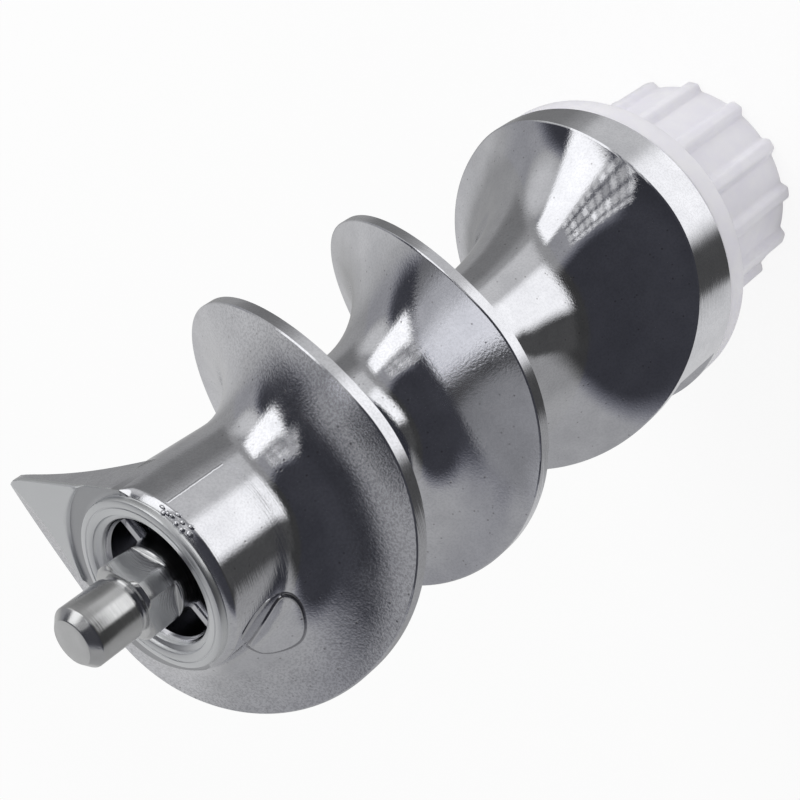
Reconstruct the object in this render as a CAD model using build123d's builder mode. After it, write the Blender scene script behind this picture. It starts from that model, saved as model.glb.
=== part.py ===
# Feed screw of a kitchen meat grinder: a die-cast screw, a steel knife stud and a plastic drive coupling.
# Millimetres. The screw stands on the coupling's end face, and +Z runs along its axis to the pilot pin.
import math
import os
from build123d import *

os.makedirs("parts", exist_ok=True)

# Heights along the axis, from the coupling's end face.
coupling_ring_base = 24.9
flange_back = 28.9
wing_face = 117.5
collar_face = 118.05
stud_seat = 92.0
square_end = 117.7
square_front = 121.9
pin_tip = 129.3

# Radii that the lathe and the mould give the casting.
screw_radius = 23.0
casting_skin = 1.2
collar_radius = 10.75
front_core = 11.5
rear_core = 9.8
core_taper_low = 75.0
core_taper_high = 110.0

# The flight: a left-hand ridge that drops by these steps from half turn to half turn.
# Each half turn lies in one half of a two-part mould, so it is nearly flat at the parting plane.
parting_angle = 4.0
flight_top = 132.2
first_drop = 19.2
second_drop = 15.2
third_drop = 14.8
fourth_drop = 8.4
fifth_drop = 20.8
sixth_drop = 17.9
last_drop = 10.6
half_turn_drops = [first_drop, second_drop, third_drop, fourth_drop, fifth_drop, sixth_drop, last_drop]
first_parting = -356.0
flight_start = -285.0
flight_end = 864.0
station_step = 20.0
step_sharpness = 1.2
land_width = 1.8

# Flanks of the flight: reach along the axis between the land and the core.
front_reach = 12.0
rear_reach = 9.0
last_front_reach = 20.0
reach_grows_from = 300.0
reach_grown_at = 640.0
root_depth = 1.2
deep_root = 5.0
flank_bend = 0.66
flank_rise = 0.06
foot_bend = 0.3
foot_rise = 0.30
front_foot_rise = 0.35
foot_share = 0.85

# Rear flange with the solid block that closes the last channel.
flange_edge = 30.3
flange_reach = 18.0
block_wall = 8.2
block_far_end = 1.5
block_overlap = 1.0

# Blunt start of the flight: a plane tangent to the hub.
start_plane_angle = 62.0
start_plane_distance = 11.45
start_plane_floor = 105.5
wing_thickness = 1.3

# Front recess round the stud, with two ribs.
mouth_radius = 8.15
recess_radius = 7.6
mouth_step = 0.9
recess_floor = 106.0
rib_angle = 95.0
rib_width = 1.6
rib_top = 113.5
relief_radius = 13.4
relief_depth = 0.35

# Steel stud.
bar_radius = 4.7
square_across = 8.0
pin_radius = 3.75
pin_chamfer = 1.0
neck_radius = 3.3
neck_length = 0.8
bar_chamfer = 0.4
stud_turn = -3.0

# Drive stub of the casting and the socket that takes it.
stub_across = 14.0
stub_end = 12.0
socket_clearance = 0.05
socket_relief = 0.5

# Plastic coupling.
ring_inset = 0.1
tooth_count = 14
tooth_tip = 17.5
tooth_root = 16.4
tooth_depth = 2.5
tooth_width = 2.8
tooth_corner = 0.9
tooth_phase = -7.5


def edge_height(turn):
    """Height of the front edge of the flight's land at a turn angle in degrees."""
    steps = (turn - first_parting) / 180.0
    index = max(0, min(int(math.floor(steps)), len(half_turn_drops) - 1))
    part_way = steps - index
    swing = 0.5 - 0.5 * math.cos(math.pi * part_way)
    share = step_sharpness * swing - (step_sharpness - 1.0) * part_way
    return flight_top - sum(half_turn_drops[:index]) - half_turn_drops[index] * share


def core_radius(height):
    """Radius of the core, thicker at the hub than at the rear."""
    share = (height - core_taper_low) / (core_taper_high - core_taper_low)
    share = min(max(share, 0.0), 1.0)
    return rear_core + (front_core - rear_core) * share


def front_width(turn):
    """Reach of the front flank, which widens into a cone in the last turn."""
    share = (turn - reach_grows_from) / (reach_grown_at - reach_grows_from)
    share = min(max(share, 0.0), 1.0)
    share = share * share * (3.0 - 2.0 * share)
    return front_reach + (last_front_reach - front_reach) * share


def axial_plane(angle):
    """Half plane through the axis: local x is the radius, local y the height."""
    turn = math.radians(angle)
    return Plane((0, 0, 0), (math.cos(turn), math.sin(turn), 0), (math.sin(turn), -math.cos(turn), 0))


outer = screw_radius + casting_skin
last_parting = first_parting + 180.0 * (len(half_turn_drops) - 1)
parting_turns = [first_parting + 180.0 * half for half in range(1, len(half_turn_drops))]
flight_turns = [flight_start] + parting_turns + [flight_end]


def flight_station(turn):
    """One axial section of the flight: a thin land, two hollow flanks and a root inside the core."""
    edge = edge_height(turn)
    back = min(edge - land_width, wing_face - wing_thickness)
    reach = front_width(turn)
    core = core_radius(edge)
    foot = core - root_depth
    front_end = edge + foot_share * reach
    rear_end = back - foot_share * rear_reach
    with BuildSketch(axial_plane(turn)) as station:
        with BuildLine():
            Bezier((outer, edge), (flank_bend * outer, edge + flank_rise * reach),
                   (core + foot_bend, edge + front_foot_rise * reach), (foot, front_end))
            Line((foot, front_end), (deep_root, front_end))
            Line((deep_root, front_end), (deep_root, rear_end))
            Line((deep_root, rear_end), (foot, rear_end))
            Bezier((foot, rear_end), (core + foot_bend, back - foot_rise * rear_reach),
                   (flank_bend * outer, back - flank_rise * rear_reach), (outer, back))
            Line((outer, back), (outer, edge))
        make_face()
    return station.sketch


def half_turn(first, last):
    """Axial sections of one half turn of the flight, from its first to its last turn angle."""
    count = int(math.ceil((last - first) / station_step))
    return [flight_station(first + (last - first) * step / count) for step in range(count + 1)]


start_x = start_plane_distance * math.cos(math.radians(start_plane_angle))
start_y = start_plane_distance * math.sin(math.radians(start_plane_angle))

with BuildPart() as flight_tip:
    loft(half_turn(flight_turns[0], flight_turns[1]))
    with BuildSketch(Plane.XY.offset(start_plane_floor)):
        with Locations(Location((start_x, start_y, 0), (0, 0, start_plane_angle))):
            Rectangle(outer, 4 * outer, align=(Align.MIN, Align.CENTER))
    extrude(amount=flight_top - start_plane_floor + front_reach, mode=Mode.SUBTRACT)

parting_plane = axial_plane(parting_angle)
wall_turn = last_parting - math.degrees(math.acos(block_wall / screw_radius))
far_turn = last_parting + math.degrees(math.acos(block_far_end / screw_radius))
half_land = 0.5 * land_width
flange_blank = screw_radius + 2.0 * casting_skin
block_blank = screw_radius + 3.0 * casting_skin
block_extra = block_blank - screw_radius
wall_height = edge_height(wall_turn) - half_land
far_height = edge_height(far_turn) - half_land
meeting_height = edge_height(last_parting) - half_land
lower_slope = (meeting_height - wall_height) / (screw_radius - block_wall)
upper_slope = (meeting_height - far_height) / (screw_radius - block_far_end)

with BuildPart() as screw_body:
    with BuildSketch(Plane.XZ):
        with BuildLine():
            Polyline((0, flange_back), (rear_core, flange_back), (rear_core, core_taper_low),
                     (front_core, core_taper_high), (front_core, collar_face), (0, collar_face), close=True)
        make_face()
    revolve(axis=Axis.Z)
    with BuildSketch(Plane.XZ):
        with BuildLine():
            foot = rear_core - root_depth
            foot_height = flange_edge + foot_share * flange_reach
            Line((0, flange_back), (flange_blank, flange_back))
            Line((flange_blank, flange_back), (flange_blank, flange_edge))
            Bezier((flange_blank, flange_edge), (flank_bend * outer, flange_edge + flank_rise * flange_reach),
                   (rear_core + foot_bend, flange_edge + foot_rise * flange_reach), (foot, foot_height))
            Line((foot, foot_height), (0, foot_height))
            Line((0, foot_height), (0, flange_back))
        make_face()
    revolve(axis=Axis.Z)
    with BuildSketch(parting_plane.offset(-block_overlap)):
        with BuildLine():
            Polyline((block_wall, flange_back), (block_blank, flange_back),
                     (block_blank, meeting_height + lower_slope * block_extra), (block_wall, wall_height), close=True)
        make_face()
    extrude(amount=block_blank + block_overlap)
    with BuildSketch(parting_plane.offset(block_overlap)):
        with BuildLine():
            Polyline((block_far_end, flange_back), (block_blank, flange_back),
                     (block_blank, meeting_height + upper_slope * block_extra), (block_far_end, far_height), close=True)
        make_face()
    extrude(amount=-block_blank - block_overlap)
    add(flight_tip.part)
    for first, last in zip(flight_turns[1:], flight_turns[2:]):
        loft(half_turn(first, last))
    with BuildSketch(Plane.XZ):
        with BuildLine():
            Polyline((0, flange_back), (screw_radius, flange_back), (screw_radius, wing_face),
                     (relief_radius, wing_face), (relief_radius, wing_face - relief_depth),
                     (collar_radius, wing_face - relief_depth), (collar_radius, collar_face),
                     (0, collar_face), close=True)
        make_face()
    revolve(axis=Axis.Z, mode=Mode.INTERSECT)
    with BuildSketch(Plane.XY.offset(recess_floor)):
        Circle(recess_radius)
    extrude(amount=collar_face - recess_floor, mode=Mode.SUBTRACT)
    with BuildSketch(Plane.XY.offset(collar_face - mouth_step)):
        Circle(mouth_radius)
    extrude(amount=mouth_step, mode=Mode.SUBTRACT)
    with BuildSketch(Plane.XY.offset(recess_floor)):
        Rectangle(2 * recess_radius + rib_width, rib_width, rotation=rib_angle)
    extrude(amount=rib_top - recess_floor)
    with BuildSketch(Plane.XY.offset(stud_seat)):
        Circle(bar_radius)
    extrude(amount=collar_face - stud_seat, mode=Mode.SUBTRACT)
    with BuildSketch(Plane.XY.offset(stub_end)):
        RegularPolygon(0.5 * stub_across, 6, major_radius=False)
    extrude(amount=flange_back - stub_end)

with BuildPart() as knife_stud:
    with BuildSketch(Plane.XZ):
        with BuildLine():
            Polyline((0, stud_seat), (bar_radius, stud_seat), (bar_radius, square_front - bar_chamfer),
                     (bar_radius - bar_chamfer, square_front), (neck_radius, square_front),
                     (neck_radius, square_front + neck_length), (pin_radius, square_front + neck_length),
                     (pin_radius, pin_tip - pin_chamfer), (pin_radius - pin_chamfer, pin_tip),
                     (0, pin_tip), close=True)
        make_face()
    revolve(axis=Axis.Z)
    with BuildSketch(Plane.XY.offset(square_end)):
        Circle(2 * bar_radius)
        Rectangle(square_across, square_across, rotation=45.0 + stud_turn, mode=Mode.SUBTRACT)
    extrude(amount=square_front - square_end, mode=Mode.SUBTRACT)

with BuildPart() as drive_coupling:
    with BuildSketch(Plane.XY):
        Circle(tooth_root)
        with PolarLocations(tooth_tip - 0.5 * tooth_depth, tooth_count, start_angle=tooth_phase):
            RectangleRounded(tooth_depth, tooth_width, tooth_corner)
    extrude(amount=coupling_ring_base)
    with BuildSketch(Plane.XY.offset(coupling_ring_base)):
        Circle(screw_radius - ring_inset)
    extrude(amount=flange_back - coupling_ring_base)
    with BuildSketch(Plane.XY.offset(stub_end - socket_relief)):
        RegularPolygon(0.5 * stub_across + socket_clearance, 6, major_radius=False)
    extrude(amount=flange_back - stub_end + socket_relief, mode=Mode.SUBTRACT)

for node, name in ((screw_body, "screw_body"), (knife_stud, "knife_stud"), (drive_coupling, "drive_coupling")):
    node.part.label = name
    export_step(node.part, "parts/" + name + ".step")
    print(name, node.part.is_valid, round(node.part.volume), len(node.part.solids()), len(node.part.faces()))
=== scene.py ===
# %% [markdown]
# # A meat grinder auger, made as a lesson
# The screw is three pieces: a bright aluminium casting, a steel stud that carries the knife, and a white
# plastic coupling that the motor turns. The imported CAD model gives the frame. This file dresses it with
# finer meshes and procedural finishes, piece by piece.

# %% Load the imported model
import math

import bmesh
import bpy
import numpy as np
from mathutils import Matrix, Vector


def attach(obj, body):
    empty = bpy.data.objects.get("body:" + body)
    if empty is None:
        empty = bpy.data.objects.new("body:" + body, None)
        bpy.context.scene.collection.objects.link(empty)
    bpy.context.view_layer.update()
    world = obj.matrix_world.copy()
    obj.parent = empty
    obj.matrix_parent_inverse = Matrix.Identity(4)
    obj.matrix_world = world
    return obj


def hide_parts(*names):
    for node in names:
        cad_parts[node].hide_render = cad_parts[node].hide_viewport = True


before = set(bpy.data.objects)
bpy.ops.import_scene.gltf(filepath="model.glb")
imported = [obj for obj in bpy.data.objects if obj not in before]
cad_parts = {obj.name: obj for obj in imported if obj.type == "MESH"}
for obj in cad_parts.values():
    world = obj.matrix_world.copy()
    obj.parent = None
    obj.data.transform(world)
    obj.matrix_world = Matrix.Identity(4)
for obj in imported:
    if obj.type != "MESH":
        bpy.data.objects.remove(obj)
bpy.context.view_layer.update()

MM = 0.001

# %% [markdown]
# ## Sizes
# The drawing is in millimetres, and the heights are counted from the coupling's end face. They are the
# sizes of the solid model. Only the cone of the last turn is fuller here than in the solid.

# %% Drawing sizes
SCREW_RADIUS = 23.0
LAND_WIDTH = 1.8
FRONT_CORE = 11.5
REAR_CORE = 9.8
TAPER_LOW, TAPER_HIGH = 75.0, 110.0
FLANGE_BACK = 28.9
FLANGE_EDGE = 30.3
WING_FACE = 117.5
RELIEF_FACE = 117.15
RELIEF_RADIUS = 13.4
COLLAR_FACE = 118.05
COLLAR_RADIUS = 10.75
FLIGHT_TOP = 132.2
FIRST_PARTING = -356.0
HALF_TURN = 180.0
HALF_TURN_DROPS = (19.2, 15.2, 14.8, 8.4, 20.8, 17.9, 10.6)
STEP_SHARPNESS = 1.2
FLANGE_BLEND = 1.6
START_ANGLE = 62.0
START_DISTANCE = 11.5
WING_THICKNESS = 1.3
TIP_BLEND = 3.0
CORNER = 0.16
BLOCK_TURN = 655.0
COLUMN_STEP = 2.0
print("flight drops in all", round(sum(HALF_TURN_DROPS), 1), "mm over", len(HALF_TURN_DROPS), "half turns")

# %% [markdown]
# ## The casting: a flat pattern that is wound up
# The flight is one long ridge. A mesh of it is easiest to think of as a flat strip: along the strip runs the
# turn angle, and across it runs the hollow channel from one land to the next. Each point of the pattern
# carries its turn angle, its radius, and how its height follows the flight. A Geometry Nodes tree then winds
# the pattern round the axis. The rule of the winding, a height that falls by one step in each half turn,
# is in the tree, with a named input for each step.

# %% Height of the flight's edge
def flight_height(turn):
    """Height of the land's front edge at a turn angle in degrees; it never goes below the flange's edge."""
    height = FLIGHT_TOP
    for index, drop in enumerate(HALF_TURN_DROPS):
        part = min(max((turn - FIRST_PARTING) / HALF_TURN - index, 0.0), 1.0)
        swing = 0.5 - 0.5 * math.cos(math.pi * part)
        height -= drop * (STEP_SHARPNESS * swing - (STEP_SHARPNESS - 1.0) * part)
    near = max(FLANGE_BLEND - abs(height - FLANGE_EDGE), 0.0) / FLANGE_BLEND
    return max(height, FLANGE_EDGE) + near ** 3 * FLANGE_BLEND / 6.0


def smooth_share(value, low, high):
    """0 below low, 1 above high, with a soft start and end."""
    share = min(max((value - low) / (high - low), 0.0), 1.0)
    return share * share * (3.0 - 2.0 * share)


def core_radius(height):
    return REAR_CORE + (FRONT_CORE - REAR_CORE) * smooth_share(height, TAPER_LOW, TAPER_HIGH)


print("edge heights", [round(flight_height(t), 2) for t in (-236, 4, 184, 364, 544, 724, 904)])

# %% [markdown]
# The flanks are hollow: nearly flat near the thin land, and rounded into the core. A cubic Bezier curve with
# its last handle along the axis gives that shape and meets the core with no crease. The front flank grows
# into a long cone in the last turn, and a second number moves each handle there to make the cone straight.
# The blunt start of the flight is a plane that touches the hub, so near the start the flight reaches only as
# far out as that plane.

# %% Sections of the flight
CURVE_POINTS = np.linspace(0.0, 1.0, 161)
OUTER_HANDLE = 15.8
FRONT_REACH, CONE_REACH, FLANGE_REACH, REAR_REACH = 12.0, 20.0, 18.0, 9.0
CONE_TURNS, FLANGE_TURNS, STRAIGHT_TURNS = (300.0, 640.0), (800.0, 850.0), (260.0, 640.0)
FRONT_RISES = ((0.06, 0.09), (0.35, 0.05), (0.76, 0.3))
RIM_FULLNESS, FOOT_FULLNESS = 1.7, 1.6
REAR_FALLS = (0.06, 0.3, 0.76)
START_SPAN = 89.0


def bezier(points):
    a, b, c, d = (np.array(p, float) for p in points)
    t = CURVE_POINTS[:, None]
    return a * (1 - t) ** 3 + 3 * b * t * (1 - t) ** 2 + 3 * c * t * t * (1 - t) + d * t ** 3


def front_reach(turn):
    """Reach of the front flank along the axis, which grows into a cone in the last turn."""
    reach = FRONT_REACH + (CONE_REACH - FRONT_REACH) * smooth_share(turn, *CONE_TURNS)
    return reach + (FLANGE_REACH - reach) * smooth_share(turn, *FLANGE_TURNS)


def outer_radius(turn):
    """How far out the flight reaches: to the turned diameter, or to the plane that cuts its start."""
    if turn > START_ANGLE - 360.0 + START_SPAN:
        return SCREW_RADIUS
    lean = max(math.cos(math.radians(turn + 360.0 - START_ANGLE)), 1e-3)
    plane = START_DISTANCE / lean
    near = max(TIP_BLEND - abs(plane - SCREW_RADIUS), 0.0) / TIP_BLEND
    return min(SCREW_RADIUS, plane) - near ** 3 * TIP_BLEND / 6.0


def corner_size(turn):
    """Bevel at the land's corners, which fades out where the start's plane touches the hub."""
    return CORNER * min(1.0, (outer_radius(turn) - START_DISTANCE) / 2.0)


def front_flank(turn):
    """Front flank as (radius, height) from the land inwards to the core."""
    edge, reach = flight_height(turn), front_reach(turn)
    cone = smooth_share(turn, *STRAIGHT_TURNS)
    rim, foot, top = (edge + (hollow + more * cone) * reach for hollow, more in FRONT_RISES)
    return bezier([(SCREW_RADIUS, edge), (OUTER_HANDLE + RIM_FULLNESS * cone, rim),
                   (core_radius(foot) + FOOT_FULLNESS * cone, foot), (core_radius(top), top)])


def rear_flank(turn):
    """Rear flank as (radius, height) from the land inwards to the core."""
    edge = min(flight_height(turn) - LAND_WIDTH, WING_FACE - WING_THICKNESS)
    rim, foot, top = (edge - share * REAR_REACH for share in REAR_FALLS)
    return bezier([(SCREW_RADIUS, edge), (OUTER_HANDLE, rim), (core_radius(foot), foot),
                   (core_radius(top), top)])


def trim_radius(curve, radius):
    """The part of a flank inside a radius, starting exactly on it."""
    if radius >= curve[0, 0]:
        return curve
    height = np.interp(-radius, -curve[:, 0], curve[:, 1])
    return np.vstack([[radius, height], curve[curve[:, 0] < radius - 1e-6]])


def spread(curve, count, crowd=1.6):
    """A curve resampled to a number of points that crowd towards its start."""
    steps = np.hypot(*np.diff(curve, axis=0).T)
    length = np.concatenate([[0.0], np.cumsum(steps)])
    wanted = length[-1] * np.linspace(0.0, 1.0, count) ** crowd
    return np.column_stack([np.interp(wanted, length, curve[:, k]) for k in (0, 1)])


# %% [markdown]
# ## Strips of the pattern
# The channel strip runs from a land's front corner, down the front flank, along the core, and up the rear
# flank of the turn before. The front strip runs from the first turn up to the hub's face, where the lathe
# has cut the flight flat. The land strip closes the two corners, and the rim strip is the flange's edge with
# the block that closes the last channel. Every strip gives its points by the same rules, so their edges
# meet and can be welded.

# %% Columns of each strip
FLANK_COUNT, CORE_COUNT = 30, 9
MIN_GAP, GAP_PROBES = 1.6, 240


def cut_height(radius):
    return WING_FACE if radius > RELIEF_RADIUS else RELIEF_FACE


def channel_column(turn):
    """From the land at this turn to the rear corner of the land one turn before."""
    low = trim_radius(front_flank(turn), outer_radius(turn) - corner_size(turn))
    high = trim_radius(rear_flank(turn - 360.0), outer_radius(turn - 360.0) - corner_size(turn - 360.0))
    high[:, 1] = np.minimum(high[:, 1], RELIEF_FACE)
    floor = max(low[-1, 0], high[-1, 0])
    radii = np.linspace(floor, min(low[0, 0], high[0, 0]), GAP_PROBES)
    gap = np.interp(radii, high[::-1, 0], high[::-1, 1]) - np.interp(radii, low[::-1, 0], low[::-1, 1])
    tight = np.nonzero(gap < MIN_GAP)[0]
    if len(tight) and tight[-1] + 1 < len(radii):
        floor = radii[tight[-1] + 1]
        low = low[low[:, 0] >= floor]
        high = high[high[:, 0] >= floor]
    low, high = spread(low, FLANK_COUNT), spread(high, FLANK_COUNT)[::-1]
    share = np.linspace(0.0, 1.0, CORE_COUNT + 2)[1:-1, None]
    core = low[-1] * (1 - share) + high[0] * share
    return np.vstack([low, core, high])


def land_column(turn):
    """From the rear corner of a land to its front corner."""
    radius, corner = outer_radius(turn), corner_size(turn)
    low = min(trim_radius(rear_flank(turn), radius - corner)[0, 1], RELIEF_FACE)
    high = min(trim_radius(front_flank(turn), radius - corner)[0, 1], cut_height(radius))
    bevel = min(corner, 0.4 * max(high - low, 0.0))
    heights = np.array([low, low + bevel, low + 2 * bevel, 0.5 * (low + high),
                        high - 2 * bevel, high - bevel, high])
    radii = np.full(7, radius)
    radii[[0, -1]] = radius - corner
    return np.column_stack([radii, heights])


FACE_COUNT, RELIEF_COUNT, RIM_COUNT = 16, 18, 8
RELIEF_STEP = np.array([(RELIEF_RADIUS + 0.07, WING_FACE - 0.03), (RELIEF_RADIUS, WING_FACE - 0.14),
                        (RELIEF_RADIUS - 0.04, RELIEF_FACE + 0.07), (RELIEF_RADIUS - 0.12, RELIEF_FACE)])
STEP_ROOM, CLIMB_ROOM, CLIMB_POINTS = 0.15, 0.2, 40
HUB_CORNER = (FRONT_CORE - 0.1, RELIEF_FACE)
COLLAR_FOOT = np.array([(COLLAR_RADIUS + 0.07, RELIEF_FACE), (COLLAR_RADIUS + 0.06, RELIEF_FACE)])
SHOULDER = np.array([(0.0, -1.0), (-0.03, -0.8), (-0.13, -0.6), (-0.42, -0.3), (-0.58, -0.12),
                     (-0.68, -0.05)])
SHOULDER_FADE, SHOULDER_TURNS = 2.5, (-2.0, 8.0)


def hub_edge(turn, flank_top):
    """The hub's front corner: a wide bevel, which shrinks where the flight rises over it."""
    room = (RELIEF_FACE - CLIMB_ROOM - flank_top) / SHOULDER_FADE
    size = min(max(room, 0.1), 1.0) * smooth_share(START_ANGLE - turn, *SHOULDER_TURNS)
    return np.array([FRONT_CORE, RELIEF_FACE]) + size * SHOULDER


def front_column(turn):
    """From a land's front corner to the foot of the collar, cut flat where the lathe faced the hub."""
    flank = trim_radius(front_flank(turn), outer_radius(turn) - corner_size(turn))
    face_radius = np.interp(WING_FACE, flank[:, 1], flank[:, 0])
    level = WING_FACE
    if face_radius < RELIEF_RADIUS + STEP_ROOM:
        level = RELIEF_FACE
        face_radius = min(np.interp(level, flank[:, 1], flank[:, 0]), RELIEF_RADIUS - 0.05)
    if flank[-1, 1] < RELIEF_FACE - CLIMB_ROOM:
        edge = hub_edge(turn, flank[-1, 1])
        climb = np.array([(core_radius(z), z) for z in np.linspace(flank[-1, 1], edge[0, 1], CLIMB_POINTS)])
        return np.vstack([spread(flank, FLANK_COUNT), spread(climb, FACE_COUNT, 1.0), edge,
                          np.repeat(edge[-1:], RELIEF_COUNT - 2, axis=0), COLLAR_FOOT])
    kept = flank[(flank[:, 0] > face_radius + 1e-4) & (flank[:, 1] < level - 1e-4)]
    kept = np.vstack([kept, [min(face_radius, flank[0, 0]), level]])
    start = np.array([kept[-1, 0], level])
    face = np.linspace(start, (max(min(start[0], RELIEF_RADIUS + STEP_ROOM), FRONT_CORE), level), FACE_COUNT)
    step = np.where(RELIEF_STEP[:, :1] < face[-1, 0], RELIEF_STEP, face[-1])
    relief = np.linspace(step[-1], HUB_CORNER, RELIEF_COUNT + 1)[1:]
    return np.vstack([spread(kept, FLANK_COUNT), face, step, relief, COLLAR_FOOT])


def rim_column(turn):
    """The flange's turned edge, with the block that closes the channel, from the back to the front corner."""
    top = trim_radius(front_flank(turn), SCREW_RADIUS - CORNER)[0, 1]
    base = np.array([(SCREW_RADIUS - CORNER, FLANGE_BACK), (SCREW_RADIUS, FLANGE_BACK + CORNER)])
    wall = np.linspace((SCREW_RADIUS, FLANGE_BACK + 2 * CORNER), (SCREW_RADIUS, top - 2 * CORNER), RIM_COUNT)
    tip = np.array([(SCREW_RADIUS, top - CORNER), (SCREW_RADIUS - CORNER, top)])
    return np.vstack([base, wall, tip])


def turn_range(first, last):
    """Even turns between two angles, with a column wherever the block's end wall stands."""
    even = np.arange(START_TURN, END_TURN, COLUMN_STEP)
    turns = np.union1d(even, BLOCK_TURN + 360.0 * np.arange(-2, 2))
    return turns[(turns >= first) & (turns <= last)]


def revolved(profile):
    """A column that is the same all round, for the turned parts of the hub and the back."""
    return lambda turn: np.array(profile, float)


BORE_RADIUS = 4.72
STUD_SEAT = 92.0
RECESS_FLOOR, RECESS_RADIUS = 106.0, 7.6
STUB_END = 12.0
STUB_ACROSS = 14.0


def hexagon_radius(turn, across):
    """Distance from the axis to a hexagon's side, seen at an angle."""
    return 0.5 * across / math.cos(math.radians((turn + 30.0) % 60.0 - 30.0))


def back_column(turn):
    """The flange's back and the hexagonal stub that sits in the coupling."""
    side = hexagon_radius(turn - 30.0, STUB_ACROSS)
    return np.array([(0.0, STUB_END), (side - 0.6, STUB_END), (side, STUB_END + 0.6), (side, 20.0),
                     (side, FLANGE_BACK), (15.0, FLANGE_BACK), (SCREW_RADIUS - CORNER, FLANGE_BACK)])


hub_profile = [(COLLAR_RADIUS + 0.06, RELIEF_FACE), (COLLAR_RADIUS, RELIEF_FACE + 0.08),
               (COLLAR_RADIUS, COLLAR_FACE - 0.3), (COLLAR_RADIUS - 0.1, COLLAR_FACE - 0.08),
               (COLLAR_RADIUS - 0.3, COLLAR_FACE), (9.95, COLLAR_FACE), (9.88, COLLAR_FACE - 0.06),
               (9.78, COLLAR_FACE - 0.06), (9.7, COLLAR_FACE), (9.0, COLLAR_FACE - 0.02),
               (8.85, COLLAR_FACE - 0.1), (8.75, COLLAR_FACE - 0.4), (8.6, COLLAR_FACE - 0.5),
               (8.2, COLLAR_FACE - 0.6), (8.05, COLLAR_FACE - 0.75), (7.95, COLLAR_FACE - 1.3),
               (7.8, COLLAR_FACE - 1.5), (RECESS_RADIUS, COLLAR_FACE - 1.7), (RECESS_RADIUS, 112.0),
               (RECESS_RADIUS, RECESS_FLOOR + 0.3), (RECESS_RADIUS - 0.3, RECESS_FLOOR), (6.0, RECESS_FLOOR),
               (BORE_RADIUS, RECESS_FLOOR), (BORE_RADIUS, STUD_SEAT - 0.02), (0.0, STUD_SEAT - 0.02)]
START_TURN = START_ANGLE - 360.0
END_TURN = BLOCK_TURN + 360.0
strips = [
    ("channel", turn_range(START_ANGLE, END_TURN), channel_column, 0.0),
    ("land", turn_range(START_TURN, BLOCK_TURN), land_column, 1.0),
    ("front", turn_range(START_TURN, START_ANGLE), front_column, 0.0),
    ("rim", turn_range(BLOCK_TURN, END_TURN), rim_column, 1.0),
    ("hub", turn_range(START_TURN, START_ANGLE), revolved(hub_profile), 1.0),
    ("back", turn_range(BLOCK_TURN, END_TURN), back_column, 1.0),
]

# %% [markdown]
# The pattern becomes a mesh whose points lie flat, with the turn along X. Each point carries four numbers for
# the winding: turn, radius, follow and lift. A point that follows the flight has follow 1 and stores only how
# far it is lifted from the land's edge; a point of the hub or flange has follow 0 and stores its own height.
# Two more numbers are for the finish: how machined a point is, and how much painted shade darkens its colour.

# %% The flat pattern
flat_points, flat_faces = [], []
point_values = {title: [] for title in ("turn", "radius", "follow", "lift", "machined", "painted_shade")}
HUB_TURNED, HUB_MACHINED = 104.0, 0.5
# Painted shade: how dark the step round the collar and the inside of the recess are painted.
RELIEF_PAINTED_SHADE, RECESS_PAINTED_SHADE = 0.5, 0.42
RECESS_MOUTH_RADIUS, RECESS_MOUTH_DEPTH = 7.9, 1.4


def add_point(turn, radius, height, machined, painted_shade, edge=None):
    """Adds a point at a turn in radians; one that is given the land's edge follows it."""
    flat_points.append((turn * SCREW_RADIUS * MM, height * MM, radius * MM))
    follow, lift = (0.0, height) if edge is None else (1.0, height - edge)
    for values, value in zip(point_values.values(), (turn, radius * MM, follow, lift * MM, machined, painted_shade)):
        values.append(value)


def finish_of(name, machined, radius, height):
    """How machined a point of a strip is, and how much painted shade it takes in the step round the collar
    and in the recess.
    """
    if name == "front" and height > RELIEF_FACE - 0.02:
        in_relief = radius < RELIEF_RADIUS and height < RELIEF_FACE + 0.02
        return 1.0, RELIEF_PAINTED_SHADE if in_relief else 0.0
    if name == "front" and radius < FRONT_CORE + 0.01 and height > HUB_TURNED:
        return HUB_MACHINED, 0.0
    in_recess = name == "hub" and radius < RECESS_MOUTH_RADIUS and height < COLLAR_FACE - RECESS_MOUTH_DEPTH
    return machined, RECESS_PAINTED_SHADE if in_recess else 0.0


for name, turns, column, machined in strips:
    rows = [column(turn) for turn in turns]
    count = len(rows[0])
    first = len(flat_points)
    follows = name in ("channel", "land", "rim")
    for turn, row in zip(turns, rows):
        edge = flight_height(turn) if follows else None
        for radius, height in row:
            add_point(math.radians(turn), radius, height, *finish_of(name, machined, radius, height), edge)
    for j in range(len(turns) - 1):
        for k in range(count - 1):
            a = first + j * count + k
            flat_faces.append((a, a + count, a + count + 1, a + 1))
print("flat pattern:", len(flat_points), "points,", len(flat_faces), "faces")

wall_row = channel_column(END_TURN)
first = len(flat_points)
for radius, height in wall_row:
    for wall_radius in (radius, SCREW_RADIUS):
        add_point(math.radians(END_TURN), wall_radius, height, 0.0, 0.0)
for k in range(len(wall_row) - 1):
    a = first + 2 * k
    flat_faces.append((a, a + 2, a + 3, a + 1))


def add_shell(points, faces, painted_shades):
    """Adds a small closed shape of the casting, given in millimetres, to the pattern."""
    first = len(flat_points)
    for (x, y, z), painted_shade in zip(points, painted_shades):
        add_point(math.atan2(y, x), math.hypot(x, y), z, 0.0, painted_shade)
    flat_faces.extend(tuple(first + k for k in face) for face in faces)


def tube_faces(rings, count):
    """Faces of a tube made of rings of points, with both its ends closed."""
    sides = [(j * count + k, j * count + (k + 1) % count,
              (j + 1) * count + (k + 1) % count, (j + 1) * count + k)
             for j in range(rings - 1) for k in range(count)]
    return sides + [tuple(range(count - 1, -1, -1)), tuple(range((rings - 1) * count, rings * count))]
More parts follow.
